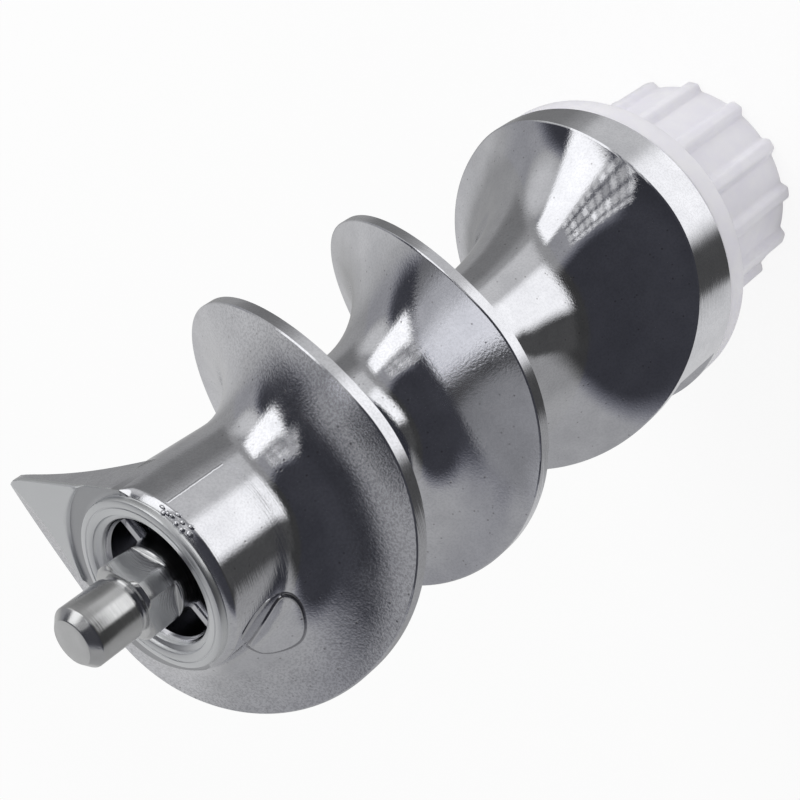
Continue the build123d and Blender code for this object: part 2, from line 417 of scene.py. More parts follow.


# %% [markdown]
# Two ribs stand in the hub's recess and steady the stud. A rounded bar is swept from the stud to the recess
# wall.

# %% Ribs in the recess
# The ribs get some painted shade, as they stand in the shaded recess.
WEB_ANGLE, WEB_WIDTH, WEB_FOOT, WEB_TOP, WEB_PAINTED_SHADE = 95.0, 1.6, RECESS_FLOOR - 0.3, 115.4, 0.25
WEB_RADII = (4.4, 5.2, 6.2, 7.2, 8.0)
WEB_SECTION = [(-0.5, 0.0), (-0.5, 0.86), (-0.42, 0.97), (-0.28, 1.0), (0.28, 1.0), (0.42, 0.97), (0.5, 0.86),
               (0.5, 0.0)]
for angle in (WEB_ANGLE, WEB_ANGLE + 180.0):
    c, s = math.cos(math.radians(angle)), math.sin(math.radians(angle))
    points = []
    for radius in WEB_RADII:
        for across, up in WEB_SECTION:
            side, top = across * WEB_WIDTH, WEB_FOOT + up * (WEB_TOP - WEB_FOOT)
            points.append((radius * c - side * s, radius * s + side * c, top))
    add_shell(points, tube_faces(len(WEB_RADII), len(WEB_SECTION)), [WEB_PAINTED_SHADE] * len(points))
print("pattern with ribs:", len(flat_points), "points")

# %% [markdown]
# ## Marks of the mould
# The mould pushes the casting out with pins. One of them left a raised D-shaped pad on the first flight,
# beside the hub, and a flat facet runs from it to the hub's front. Both lie on the surface of the front
# strip, so their outlines are a few corners, each a turn angle and a distance along the strip's section. A
# smooth closed line runs through the corners, and rings of points like it step up to the pad's top.

# %% Pad and facet
PAD_CORNERS = [(-55.0, 16.2), (-58.0, 13.7), (-70.0, 10.6), (-84.0, 8.5), (-95.5, 10.3), (-87.0, 14.2),
               (-70.0, 16.5)]
FACET_CORNERS = [(-53.0, 15.6), (-50.0, 18.2), (-55.0, 20.3), (-64.0, 20.4), (-75.0, 17.6), (-81.0, 15.6),
                 (-70.0, 16.6), (-60.0, 16.8)]
# Each ring's third number is painted shade: the pad's edge rings are painted dark like its shaded step, and
# the facet is painted darker all over.
PAD_RINGS = [(1.0, -0.6, 0.5), (1.12, -0.05, 0.3), (1.09, 0.03, 0.6), (1.03, 0.05, 0.75), (1.0, 0.22, 0.5),
             (0.96, 0.32, 0.0), (0.9, 0.34, 0.0), (0.7, 0.34, 0.0), (0.4, 0.34, 0.0), (0.1, 0.34, 0.0)]
FACET_RINGS = [(0.9, -0.5, 0.2), (1.0, -0.1, 0.3), (0.97, 0.08, 0.35), (0.9, 0.12, 0.3), (0.6, 0.12, 0.25),
               (0.2, 0.12, 0.25)]
LINE_STEPS = np.arange(12)[:, None] / 12.0


def closed_line(corners):
    """A smooth closed line that passes through each corner."""
    line = []
    count = len(corners)
    for k in range(count):
        a, b, c, d = (np.array(corners[(k + step) % count]) for step in (-1, 0, 1, 2))
        line.append(b + 0.5 * LINE_STEPS * (c - a + LINE_STEPS * (2 * a - 5 * b + 4 * c - d
                                                                  + LINE_STEPS * (3 * (b - c) + d - a))))
    return np.vstack(line)


def strip_point(turn, along, lift):
    """A point on the front strip's section, at a distance from the land and lifted off the surface."""
    flank = front_flank(turn)
    hub = [(core_radius(z), z) for z in np.linspace(flank[-1, 1], WING_FACE, 60)[1:]]
    curve = np.vstack([flank, hub])
    length = np.concatenate([[0.0], np.cumsum(np.hypot(*np.diff(curve, axis=0).T))])
    near, far = (np.array([np.interp(along + step, length, curve[:, k]) for k in (0, 1)])
                 for step in (-0.1, 0.1))
    tangent = (far - near) / np.hypot(*(far - near))
    radius, height = 0.5 * (near + far) + lift * np.array([tangent[1], -tangent[0]])
    return radius * math.cos(math.radians(turn)), radius * math.sin(math.radians(turn)), height


def add_pad(corners, rings):
    """A low raised shape on the front strip; each ring has a share of the outline, a lift and a painted
    shade.
    """
    line = closed_line(corners)
    centre = line.mean(axis=0)
    points = [strip_point(*(centre + share * (row - centre)), lift)
              for share, lift, _ in rings for row in line]
    add_shell(points, tube_faces(len(rings), len(line)), [painted_shade for _, _, painted_shade in rings for _ in line])


add_pad(FACET_CORNERS, FACET_RINGS)
add_pad(PAD_CORNERS, PAD_RINGS)

# %% [markdown]
# Where the two mould halves met, metal was squeezed out and left small bright lumps on the hub's front
# corner, and a fine raised line along the hub. Each lump is an uneven ball that is flattened and half sunk
# in the bevel.

# %% Flash
FLASH_TURNS = np.linspace(9.0, 31.0, 10)
BALL_RINGS, BALL_SIDES, BALL_POLE = 6, 8, 0.25
SEAM_TURN, SEAM_WIDTH, SEAM_HEIGHT, SEAM_DRIFT = 31.0, 0.34, 0.05, 0.12
SEAM_HEIGHTS = np.linspace(107.5, 116.0, 40)
SEAM_SECTION = ((-1.0, -0.3), (-0.4, 0.8), (0.0, 1.0), (0.4, 0.8), (1.0, -0.3))
rng = np.random.default_rng(7)
bevel = SHOULDER[-1] - SHOULDER[0]
rise = bevel / np.hypot(*bevel)
ball = [(math.sin(v) * math.cos(u), math.sin(v) * math.sin(u), math.cos(v))
        for v in np.linspace(BALL_POLE, math.pi - BALL_POLE, BALL_RINGS)
        for u in np.arange(BALL_SIDES) * 2.0 * math.pi / BALL_SIDES]
for turn in np.radians(FLASH_TURNS):
    out = np.array((math.cos(turn), math.sin(turn), 0.0))
    round_way = np.array((-math.sin(turn), math.cos(turn), 0.0))
    up_bevel = rise[0] * out + np.array((0.0, 0.0, rise[1]))
    off_bevel = np.cross(round_way, up_bevel)
    on_bevel = SHOULDER[0] + rng.uniform(0.05, 0.95) * bevel
    centre = (FRONT_CORE + on_bevel[0]) * out + np.array((0.0, 0.0, RELIEF_FACE + on_bevel[1]))
    long, wide, tall = rng.uniform(0.3, 0.6), rng.uniform(0.25, 0.45), rng.uniform(0.17, 0.27)
    dents = rng.uniform(0.92, 1.08, len(ball))
    lump = [centre + dent * (long * a * round_way + wide * b * up_bevel + tall * c * off_bevel)
            for dent, (a, b, c) in zip(dents, ball)]
    add_shell(lump, tube_faces(BALL_RINGS, BALL_SIDES), [0.0] * len(lump))
seam = []
for z in SEAM_HEIGHTS:
    drift = rng.normal(0.0, SEAM_DRIFT)
    for across, up in SEAM_SECTION:
        angle = math.radians(SEAM_TURN + drift) + 0.5 * across * SEAM_WIDTH / FRONT_CORE
        radius = core_radius(z) + up * SEAM_HEIGHT
        seam.append((radius * math.cos(angle), radius * math.sin(angle), z))
add_shell(seam, tube_faces(len(SEAM_HEIGHTS), len(SEAM_SECTION)), [0.0] * len(seam))
print("pattern with marks:", len(flat_points), "points")

pattern = bpy.data.meshes.new("screw_pattern")
pattern.from_pydata(flat_points, [], flat_faces)
for title, values in point_values.items():
    layer = pattern.attributes.new(title, "FLOAT", "POINT")
    layer.data.foreach_set("value", np.array(values, np.float32))
screw = bpy.data.objects.new("screw_casting", pattern)
bpy.context.scene.collection.objects.link(screw)

# %% [markdown]
# ## The winding tree
# A group named Flight height turns an angle into the height of the land's edge. It adds one falling step per
# half turn: a Map Range gives how far the angle is through the half turn, and a cosine makes the step flat at
# both ends, where the two mould halves part. Smooth Maximum keeps the edge on the flange. A second tree uses
# the group to place every point.

# %% Nodes that give the height
def feed(tree, value, socket):
    """Links a value to a socket if it is a socket itself, or sets it there."""
    if isinstance(value, bpy.types.NodeSocket):
        tree.links.new(value, socket)
    elif value is not None:
        socket.default_value = value


def math_node(tree, operation, *values):
    """A Math node with its inputs linked or set; returns its output."""
    node = tree.nodes.new("ShaderNodeMath")
    node.operation = operation
    for value, socket in zip(values, node.inputs):
        feed(tree, value, socket)
    return node.outputs[0]


def add_sockets(group, kind, titles, way="INPUT"):
    """Adds sockets of one kind to a group; returns their identifiers by title."""
    return {title: group.interface.new_socket(title, in_out=way, socket_type="NodeSocket" + kind).identifier
            for title in titles}


drop_titles = [f"Drop {index + 1}" for index in range(len(HALF_TURN_DROPS))]
height_group = bpy.data.node_groups.new("Flight height", "GeometryNodeTree")
add_sockets(height_group, "Float", ["Turn", "Top", *drop_titles, "Flange edge"])
add_sockets(height_group, "Float", ["Height"], "OUTPUT")
given = height_group.nodes.new("NodeGroupInput")
result = height_group.nodes.new("NodeGroupOutput")
height = given.outputs["Top"]
for index, title in enumerate(drop_titles):
    begin = math.radians(FIRST_PARTING + HALF_TURN * index)
    through = height_group.nodes.new("ShaderNodeMapRange")
    through.inputs["From Min"].default_value = begin
    through.inputs["From Max"].default_value = begin + math.pi
    height_group.links.new(given.outputs["Turn"], through.inputs["Value"])
    part = through.outputs["Result"]
    wave = math_node(height_group, "COSINE", math_node(height_group, "MULTIPLY", part, math.pi))
    swing = math_node(height_group, "MULTIPLY_ADD", wave, -0.5 * STEP_SHARPNESS, 0.5 * STEP_SHARPNESS)
    share = math_node(height_group, "MULTIPLY_ADD", part, 1.0 - STEP_SHARPNESS, swing)
    fall = math_node(height_group, "MULTIPLY", given.outputs[title], share)
    height = math_node(height_group, "SUBTRACT", height, fall)
height = math_node(height_group, "SMOOTH_MAX", height, given.outputs["Flange edge"], FLANGE_BLEND * MM)
height_group.links.new(height, result.inputs["Height"])
print("Flight height:", len(height_group.nodes), "nodes")

# %% Nodes that wind the pattern
WELD_DISTANCE = 0.00002
EDGE_ANGLE = 38.0


def geometry_tree(title, numbers):
    """A tree that takes a shape, named numbers and a finish; returns it, its inputs and their identifiers."""
    tree = bpy.data.node_groups.new(title, "GeometryNodeTree")
    add_sockets(tree, "Geometry", ["Geometry"])
    names = add_sockets(tree, "Float", numbers)
    names.update(add_sockets(tree, "Material", ["Finish"]))
    add_sockets(tree, "Geometry", ["Geometry"], "OUTPUT")
    return tree, tree.nodes.new("NodeGroupInput"), names


def attribute(tree, title):
    node = tree.nodes.new("GeometryNodeInputNamedAttribute")
    node.data_type = "FLOAT"
    node.inputs["Name"].default_value = title
    return node.outputs["Attribute"]


def vector_of(tree, x, y, z=None):
    node = tree.nodes.new("ShaderNodeCombineXYZ")
    for value, socket in zip((x, y, z), node.inputs):
        feed(tree, value, socket)
    return node.outputs["Vector"]


def dress_shape(tree, given, shape):
    """Ends a tree: instances become plain mesh, and the finish is set."""
    realize = tree.nodes.new("GeometryNodeRealizeInstances")
    tree.links.new(shape, realize.inputs["Geometry"])
    dress = tree.nodes.new("GeometryNodeSetMaterial")
    tree.links.new(realize.outputs["Geometry"], dress.inputs["Geometry"])
    tree.links.new(given.outputs["Finish"], dress.inputs["Material"])
    tree.links.new(dress.outputs["Geometry"], tree.nodes.new("NodeGroupOutput").inputs["Geometry"])


winding_inputs = {"Top": FLIGHT_TOP, **dict(zip(drop_titles, HALF_TURN_DROPS)), "Flange edge": FLANGE_EDGE}
winding, given, winding_names = geometry_tree("Wind the flight", winding_inputs)
turn, radius = attribute(winding, "turn"), attribute(winding, "radius")
step = winding.nodes.new("GeometryNodeGroup")
step.node_tree = height_group
winding.links.new(turn, step.inputs["Turn"])
for title in winding_inputs:
    winding.links.new(given.outputs[title], step.inputs[title])
height = math_node(winding, "MULTIPLY_ADD", step.outputs["Height"], attribute(winding, "follow"),
                   attribute(winding, "lift"))
place = vector_of(winding, math_node(winding, "MULTIPLY", radius, math_node(winding, "COSINE", turn)),
                  math_node(winding, "MULTIPLY", radius, math_node(winding, "SINE", turn)), height)
wind = winding.nodes.new("GeometryNodeSetPosition")
winding.links.new(given.outputs["Geometry"], wind.inputs["Geometry"])
winding.links.new(place, wind.inputs["Position"])
weld = winding.nodes.new("GeometryNodeMergeByDistance")
weld.inputs["Distance"].default_value = WELD_DISTANCE
winding.links.new(wind.outputs["Geometry"], weld.inputs["Geometry"])
dress_shape(winding, given, weld.outputs["Geometry"])


def shape_with(piece, tree, names, values, finish):
    """Lets a tree shape a piece, turns the result into a plain mesh and removes the modifier."""
    modifier = piece.modifiers.new(tree.name, "NODES")
    modifier.node_group = tree
    for title, value in values.items():
        modifier[names[title]] = float(value)
    modifier[names["Finish"]] = finish
    bpy.context.view_layer.update()
    shape = bpy.data.meshes.new_from_object(piece.evaluated_get(bpy.context.evaluated_depsgraph_get()))
    piece.modifiers.clear()
    piece.data = shape


cast_finish = bpy.data.materials.new("cast_aluminium_finish")
cast_finish.use_nodes = True
winding_values = {title: value * MM for title, value in winding_inputs.items()}
shape_with(screw, winding, winding_names, winding_values, cast_finish)
work = bmesh.new()
work.from_mesh(screw.data)
bmesh.ops.dissolve_degenerate(work, edges=work.edges, dist=1e-6)
open_edges = [e for e in work.edges if e.is_boundary]
closed = bmesh.ops.holes_fill(work, edges=open_edges, sides=0)["faces"]
closed = bmesh.ops.triangulate(work, faces=closed)["faces"]
bmesh.ops.recalc_face_normals(work, faces=work.faces)
print("open edges", len(open_edges), "closed by", len(closed), "faces, left",
      sum(e.is_boundary for e in work.edges), "branching", sum(len(e.link_faces) > 2 for e in work.edges))
work.to_mesh(screw.data)
work.free()
screw.data.shade_smooth()
screw.data.set_sharp_from_angle(angle=math.radians(EDGE_ANGLE))
print("wound screw:", len(screw.data.vertices), "points", len(screw.data.polygons), "faces")
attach(screw, "root")
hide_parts("screw_body")

# %% [markdown]
# ## The steel stud
# The stud is a turned bar. Four flats are milled on it for the knife's square hole, so its corners keep a
# strip of the round bar, and each flat ends in a small lens-shaped shoulder. A thin neck parts the square
# from the pilot pin, and the pin's tip is bevelled. A grid of turn angle and height gives all of that at
# once: at each height the radius is the bar's, or where a flat is milled, the distance to that flat.

# %% Stud mesh
BAR_RADIUS = 4.7
SQUARE_ACROSS = 8.0
SQUARE_END, SQUARE_FRONT = 117.7, 121.9
NECK_RADIUS, NECK_END = 3.3, 122.7
PIN_RADIUS, PIN_TIP, PIN_BEVEL = 3.75, 129.3, 1.0
STUD_TURN = -3.0
corner_half = 45.0 - math.degrees(math.acos(0.5 * SQUARE_ACROSS / BAR_RADIUS))
stud_turns = []
for quarter in range(4):
    corner = STUD_TURN + 90.0 * quarter
    stud_turns += list(np.linspace(corner - corner_half, corner + corner_half, 10))
    stud_turns += list(np.linspace(corner + corner_half, corner + 90.0 - corner_half, 16))[1:-1]


def milled_radius(turn, radius):
    """The bar's radius, or the distance to a flat where the flat cuts deeper."""
    away = (turn - STUD_TURN) % 90.0 - 45.0
    return min(radius, 0.5 * SQUARE_ACROSS / math.cos(math.radians(away)))


def stud_column(turn):
    flat = milled_radius(turn, BAR_RADIUS)
    tip = milled_radius(turn, BAR_RADIUS - 0.4)
    return [(0.0, STUD_SEAT), (4.3, STUD_SEAT), (BAR_RADIUS, STUD_SEAT + 0.4), (BAR_RADIUS, 106.0),
            (BAR_RADIUS, 112.0), (BAR_RADIUS, 116.0), (BAR_RADIUS, SQUARE_END - 0.2),
            (max(flat, BAR_RADIUS - 0.03), SQUARE_END - 0.08), (max(flat, BAR_RADIUS - 0.1), SQUARE_END),
            (min(flat + 0.12, BAR_RADIUS), SQUARE_END), (min(flat + 0.03, BAR_RADIUS), SQUARE_END + 0.08),
            (flat, SQUARE_END + 0.2), (flat, 119.8), (flat, SQUARE_FRONT - 0.5), (flat, SQUARE_FRONT - 0.42),
            (0.5 * (flat + tip), SQUARE_FRONT - 0.2), (tip, SQUARE_FRONT - 0.03), (tip - 0.06, SQUARE_FRONT),
            (NECK_RADIUS + 0.15, SQUARE_FRONT), (NECK_RADIUS, SQUARE_FRONT + 0.15),
            (NECK_RADIUS, NECK_END - 0.15), (NECK_RADIUS + 0.12, NECK_END), (PIN_RADIUS - 0.08, NECK_END),
            (PIN_RADIUS, NECK_END + 0.08), (PIN_RADIUS, NECK_END + 0.2), (PIN_RADIUS, 125.4),
            (PIN_RADIUS, PIN_TIP - PIN_BEVEL - 0.12),
            (PIN_RADIUS - 0.02, PIN_TIP - PIN_BEVEL - 0.02), (PIN_RADIUS - 0.09, PIN_TIP - PIN_BEVEL + 0.08),
            (PIN_RADIUS - PIN_BEVEL + 0.08, PIN_TIP - 0.09), (PIN_RADIUS - PIN_BEVEL, PIN_TIP - 0.02),
            (PIN_RADIUS - PIN_BEVEL - 0.1, PIN_TIP), (1.2, PIN_TIP), (0.0, PIN_TIP)]


def closed_grid(title, turns, column):
    """A mesh wound once round the axis from columns of (radius, height), with its poles closed."""
    columns = [column(turn) for turn in turns]
    count = len(columns[0])
    points = [(r * MM * math.cos(math.radians(a)), r * MM * math.sin(math.radians(a)), z * MM)
              for a, rows in zip(turns, columns) for r, z in rows]
    total = len(turns)
    faces = [(j * count + k, (j + 1) % total * count + k, (j + 1) % total * count + k + 1, j * count + k + 1)
             for j in range(total) for k in range(count - 1)]
    mesh = bpy.data.meshes.new(title)
    mesh.from_pydata(points, [], faces)
    work = bmesh.new()
    work.from_mesh(mesh)
    bmesh.ops.remove_doubles(work, verts=work.verts, dist=1e-7)
    bmesh.ops.dissolve_degenerate(work, edges=work.edges, dist=1e-8)
    bmesh.ops.recalc_face_normals(work, faces=work.faces)
    work.to_mesh(mesh)
    work.free()
    piece = bpy.data.objects.new(title, mesh)
    bpy.context.scene.collection.objects.link(piece)
    return piece


stud = closed_grid("stud_turned_bar", stud_turns, stud_column)
stud.data.shade_smooth()
stud.data.set_sharp_from_angle(angle=math.radians(32.0))
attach(stud, "root")
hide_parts("knife_stud")
print("stud:", len(stud.data.polygons), "faces")

# %% [markdown]
# ## The plastic coupling
# The coupling is a white moulding: a flat ring behind the flange, and a boss with fourteen low rounded ribs
# that the motor's socket turns. The ribs repeat, so a Geometry Nodes tree raises them on a plain turned
# blank. The blank's points carry how much of a rib they take, so the ribs fade at the end face and run into
# the ring.

# %% Blank of the coupling
RING_RADIUS, RING_BASE = 22.9, 24.9
RIB_COUNT, RIB_ROOT, RIB_HEIGHT, RIB_SPAN, RIB_PHASE = 14, 16.4, 1.1, 9.4, -7.5
RIB_EDGE = (0.45, 1.15)
SOCKET_FLOOR, SOCKET_ACROSS = 11.5, 14.1
coupling_rows = [(0.0, 0.0, 0.0), (11.0, 0.0, 0.0), (15.6, 0.0, 0.2), (16.0, 0.03, 0.55), (16.2, 0.12, 0.8),
                 (16.35, 0.3, 0.95), (RIB_ROOT, 0.55, 1.0), (RIB_ROOT, 8.0, 1.0), (RIB_ROOT, 16.0, 1.0),
                 (RIB_ROOT, 23.6, 1.0), (16.45, 24.2, 1.0), (16.6, 24.6, 1.0), (16.9, 24.82, 1.0),
                 (17.3, RING_BASE, 1.0), (19.5, RING_BASE, 0.0), (22.2, RING_BASE, 0.0), (22.6, 24.95, 0.0),
                 (22.8, 25.1, 0.0), (RING_RADIUS, 25.4, 0.0), (RING_RADIUS, 27.0, 0.0),
                 (RING_RADIUS, 28.5, 0.0), (22.85, 28.72, 0.0), (22.75, 28.85, 0.0),
                 (22.5, FLANGE_BACK, 0.0), (14.0, FLANGE_BACK, 0.0)]


def coupling_column(turn):
    side = hexagon_radius(turn - 30.0, SOCKET_ACROSS)
    socket = [(side, FLANGE_BACK), (side, SOCKET_FLOOR), (0.0, SOCKET_FLOOR)]
    return [(r, z) for r, z, rib in coupling_rows] + socket


coupling = closed_grid("coupling_moulding", np.arange(0.0, 360.0, 1.0), coupling_column)
rib_share = {(round(r, 3), round(z, 3)): rib for r, z, rib in coupling_rows}
shares = [rib_share.get((round(math.hypot(v.co.x, v.co.y) / MM, 3), round(v.co.z / MM, 3)), 0.0)
          for v in coupling.data.vertices]
layer = coupling.data.attributes.new("rib", "FLOAT", "POINT")
layer.data.foreach_set("value", np.array(shares, np.float32))
print("coupling blank:", len(coupling.data.vertices), "points,", sum(s > 0 for s in shares), "take a rib")

# %% Nodes that raise the ribs
rib_inputs = {"Rib count": RIB_COUNT, "Rib height": RIB_HEIGHT * MM, "Rib width": math.radians(RIB_SPAN),
              "Rib phase": math.radians(RIB_PHASE)}
ribbing, given, rib_names = geometry_tree("Raise the ribs", rib_inputs)
position = ribbing.nodes.new("GeometryNodeInputPosition")
parts = ribbing.nodes.new("ShaderNodeSeparateXYZ")
ribbing.links.new(position.outputs[0], parts.inputs[0])
angle = math_node(ribbing, "ARCTAN2", parts.outputs["Y"], parts.outputs["X"])
pitch = math_node(ribbing, "DIVIDE", 2.0 * math.pi, given.outputs["Rib count"])
from_rib = math_node(ribbing, "SUBTRACT", angle, given.outputs["Rib phase"])
centred = math_node(ribbing, "PINGPONG", from_rib, math_node(ribbing, "MULTIPLY", pitch, 0.5))
half_rib = math_node(ribbing, "MULTIPLY", given.outputs["Rib width"], 0.5)
edge = ribbing.nodes.new("ShaderNodeMapRange")
edge.interpolation_type = "SMOOTHSTEP"
for title, value in zip(("From Min", "From Max", "To Min", "To Max"), (*RIB_EDGE, 1.0, 0.0)):
    edge.inputs[title].default_value = value
ribbing.links.new(math_node(ribbing, "DIVIDE", centred, half_rib), edge.inputs["Value"])
raised = math_node(ribbing, "MULTIPLY", edge.outputs["Result"], attribute(ribbing, "rib"))
raised = math_node(ribbing, "MULTIPLY", raised, given.outputs["Rib height"])
outward = vector_of(ribbing, math_node(ribbing, "MULTIPLY", raised, math_node(ribbing, "COSINE", angle)),
                    math_node(ribbing, "MULTIPLY", raised, math_node(ribbing, "SINE", angle)))
move = ribbing.nodes.new("GeometryNodeSetPosition")
ribbing.links.new(given.outputs["Geometry"], move.inputs["Geometry"])
ribbing.links.new(outward, move.inputs["Offset"])
dress_shape(ribbing, given, move.outputs["Geometry"])
plastic_finish = bpy.data.materials.new("white_plastic_finish")
plastic_finish.use_nodes = True
shape_with(coupling, ribbing, rib_names, rib_inputs, plastic_finish)
coupling.data.shade_smooth()
coupling.data.set_sharp_from_angle(angle=math.radians(50.0))
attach(coupling, "root")
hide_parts("drive_coupling")
print("coupling:", len(coupling.data.polygons), "faces")

# %% [markdown]
# ## Shared finishes
# Two effects are used by more than one material, so each is a node group. Fine grain is the speckle of a skin
# that was cast or moulded. Turned lines are the rings that a lathe leaves: they change with radius on a flat
# face and with height on a cylinder, so their sum serves both.

# %% Group helpers
def shader_group(title, inputs, outputs):
    group = bpy.data.node_groups.new(title, "ShaderNodeTree")
    for name, value in inputs.items():
        group.interface.new_socket(name, in_out="INPUT", socket_type="NodeSocketFloat").default_value = value
    add_sockets(group, "Float", outputs, "OUTPUT")
    return group, group.nodes.new("NodeGroupInput"), group.nodes.new("NodeGroupOutput")


def noise_node(tree, vector, scale, detail=2.0, roughness=0.5):
    node = tree.nodes.new("ShaderNodeTexNoise")
    for name, value in (("Vector", vector), ("Scale", scale), ("Detail", detail), ("Roughness", roughness)):
        feed(tree, value, node.inputs[name])
    return node.outputs["Fac"]


def map_range(tree, value, low, high, to_low=0.0, to_high=1.0, smooth=False):
    node = tree.nodes.new("ShaderNodeMapRange")
    node.interpolation_type = "SMOOTHSTEP" if smooth else "LINEAR"
    tree.links.new(value, node.inputs["Value"])
    for name, number in (("From Min", low), ("From Max", high), ("To Min", to_low), ("To Max", to_high)):
        node.inputs[name].default_value = number
    return node.outputs["Result"]


def axis_distance(tree, parts):
    """Distance of a point from the screw's axis."""
    x, y = parts.outputs["X"], parts.outputs["Y"]
    square = math_node(tree, "MULTIPLY", y, y)
    return math_node(tree, "SQRT", math_node(tree, "MULTIPLY_ADD", x, x, square))


# %% Fine grain group
grain_group, given, result = shader_group("Fine grain",
                                          {"Grains per metre": 3200.0, "Pits per metre": 1100.0},
                                          ("Height", "Cloud", "Pit"))
coords = grain_group.nodes.new("ShaderNodeTexCoord").outputs["Object"]
fine = noise_node(grain_group, coords, given.outputs["Grains per metre"], 3.0, 0.6)
cloud = noise_node(grain_group, coords, 260.0, 3.0, 0.55)
pits = grain_group.nodes.new("ShaderNodeTexVoronoi")
grain_group.links.new(coords, pits.inputs["Vector"])
grain_group.links.new(given.outputs["Pits per metre"], pits.inputs["Scale"])
pit = map_range(grain_group, pits.outputs["Distance"], 0.04, 0.2, 1.0, 0.0, True)
chosen = map_range(grain_group, noise_node(grain_group, coords, 700.0, 1.0), 0.5, 0.62, 0.0, 1.0, True)
pit = math_node(grain_group, "MULTIPLY", pit, chosen)
grain_group.links.new(math_node(grain_group, "MULTIPLY_ADD", pit, -0.8, fine), result.inputs["Height"])
grain_group.links.new(cloud, result.inputs["Cloud"])
grain_group.links.new(pit, result.inputs["Pit"])
print("Fine grain:", len(grain_group.nodes), "nodes")

# %% Turned lines group
LINE_WANDER = 90.0
lines_group, given, result = shader_group("Turned lines", {"Lines per metre": 5000.0}, ("Height",))
coords = lines_group.nodes.new("ShaderNodeTexCoord").outputs["Object"]
parts = lines_group.nodes.new("ShaderNodeSeparateXYZ")
lines_group.links.new(coords, parts.inputs[0])
across = math_node(lines_group, "ADD", axis_distance(lines_group, parts), parts.outputs["Z"])
along = vector_of(lines_group, math_node(lines_group, "MULTIPLY", across, given.outputs["Lines per metre"]),
                  math_node(lines_group, "MULTIPLY", parts.outputs["X"], LINE_WANDER),
                  math_node(lines_group, "MULTIPLY", parts.outputs["Y"], LINE_WANDER))
lines_group.links.new(noise_node(lines_group, along, 1.0, 2.0, 0.6), result.inputs["Height"])
print("Turned lines:", len(lines_group.nodes), "nodes")


def place_group(tree, group, **values):
    node = tree.nodes.new("ShaderNodeGroup")
    node.node_tree = group
    for name, value in values.items():
        node.inputs[name.replace("_", " ")].default_value = value
    return node


def bump_node(tree, height, distance, before=None):
    node = tree.nodes.new("ShaderNodeBump")
    node.inputs["Strength"].default_value = 1.0
    node.inputs["Distance"].default_value = distance
    tree.links.new(height, node.inputs["Height"])
    if before is not None:
        tree.links.new(before, node.inputs["Normal"])
    return node.outputs["Normal"]


def mix_colours(tree, share, first, second):
    node = tree.nodes.new("ShaderNodeMix")
    node.data_type = "RGBA"
    tree.links.new(share, node.inputs["Factor"])
    for name, colour in (("A", first), ("B", second)):
        socket = next(s for s in node.inputs if s.name == name and s.type == "RGBA")
        feed(tree, (*colour, 1.0) if isinstance(colour, tuple) else colour, socket)
    return next(s for s in node.outputs if s.type == "RGBA")


# %% [markdown]
# ## Bright cast aluminium
# The casting was tumbled until it shines, so it mirrors the studio. The last turn is the smoothest, and the
# face of the first turn, which the mould left coarse, is dull and speckled. The lands, the rim and the hub's
# face were turned on a lathe. Two mesh attributes help: machined swaps the speckle for turned lines, and the
# other paints shade into the colour of the recess and its ribs, the step round the collar, and the pad's edge
# and facet.

# %% Cast aluminium
tree = cast_finish.node_tree
shader = tree.nodes["Principled BSDF"]
shader.inputs["Metallic"].default_value = 1.0
grain = place_group(tree, grain_group, Grains_per_metre=3400.0)
lines = place_group(tree, lines_group)


def mesh_value(tree, title):
    node = tree.nodes.new("ShaderNodeAttribute")
    node.attribute_name = title
    return node.outputs["Fac"]


def scaled(tree, value, factor, plus):
    return math_node(tree, "MULTIPLY_ADD", value, factor, plus)


machined, painted_shade = mesh_value(tree, "machined"), mesh_value(tree, "painted_shade")
parts = tree.nodes.new("ShaderNodeSeparateXYZ")
tree.links.new(tree.nodes.new("ShaderNodeTexCoord").outputs["Object"], parts.inputs[0])
from_axis = axis_distance(tree, parts)
as_cast = scaled(tree, machined, -1.0, 1.0)
coarse = math_node(tree, "MULTIPLY", map_range(tree, parts.outputs["Z"], 0.086, 0.100, smooth=True),
                   map_range(tree, from_axis, 0.0140, 0.0180, smooth=True))
coarse = math_node(tree, "MULTIPLY", coarse, as_cast)
middling = map_range(tree, parts.outputs["Z"], 0.052, 0.070, smooth=True)
faced = math_node(tree, "MULTIPLY", map_range(tree, parts.outputs["Z"], 0.1168, 0.1170), machined)

skin = mix_colours(tree, map_range(tree, grain.outputs["Cloud"], 0.35, 0.65), (0.76, 0.765, 0.80),
                   (0.85, 0.855, 0.89))
speck = math_node(tree, "MULTIPLY", map_range(tree, grain.outputs["Height"], 0.56, 0.40, smooth=True),
                  scaled(tree, coarse, 0.24, 0.12))
skin = mix_colours(tree, speck, skin, (0.30, 0.30, 0.32))
skin = mix_colours(tree, math_node(tree, "MULTIPLY", grain.outputs["Pit"], as_cast), skin, (0.42, 0.41, 0.42))
skin = mix_colours(tree, faced, skin, (0.86, 0.875, 0.89))
# Painted shade: the colour goes to dark grey by each point's share of painted shade.
tree.links.new(mix_colours(tree, painted_shade, skin, (0.20, 0.20, 0.22)), shader.inputs["Base Color"])

rough = scaled(tree, coarse, 0.10, scaled(tree, middling, 0.03, 0.05))
rough = math_node(tree, "MULTIPLY", rough, map_range(tree, grain.outputs["Cloud"], 0.3, 0.7, 0.8, 1.3))
rough = scaled(tree, machined, 0.07, rough)
tree.links.new(scaled(tree, faced, 0.20, rough), shader.inputs["Roughness"])
uneven = math_node(tree, "MULTIPLY", scaled(tree, coarse, 1.5, scaled(tree, middling, 0.7, 0.6)), as_cast)
normal = bump_node(tree, math_node(tree, "MULTIPLY", grain.outputs["Height"], uneven), 0.00001)
grooves = math_node(tree, "MULTIPLY", machined, scaled(tree, faced, -0.7, 1.0))
turned_height = math_node(tree, "MULTIPLY", lines.outputs["Height"], grooves)
tree.links.new(bump_node(tree, turned_height, 0.00003, normal), shader.inputs["Normal"])

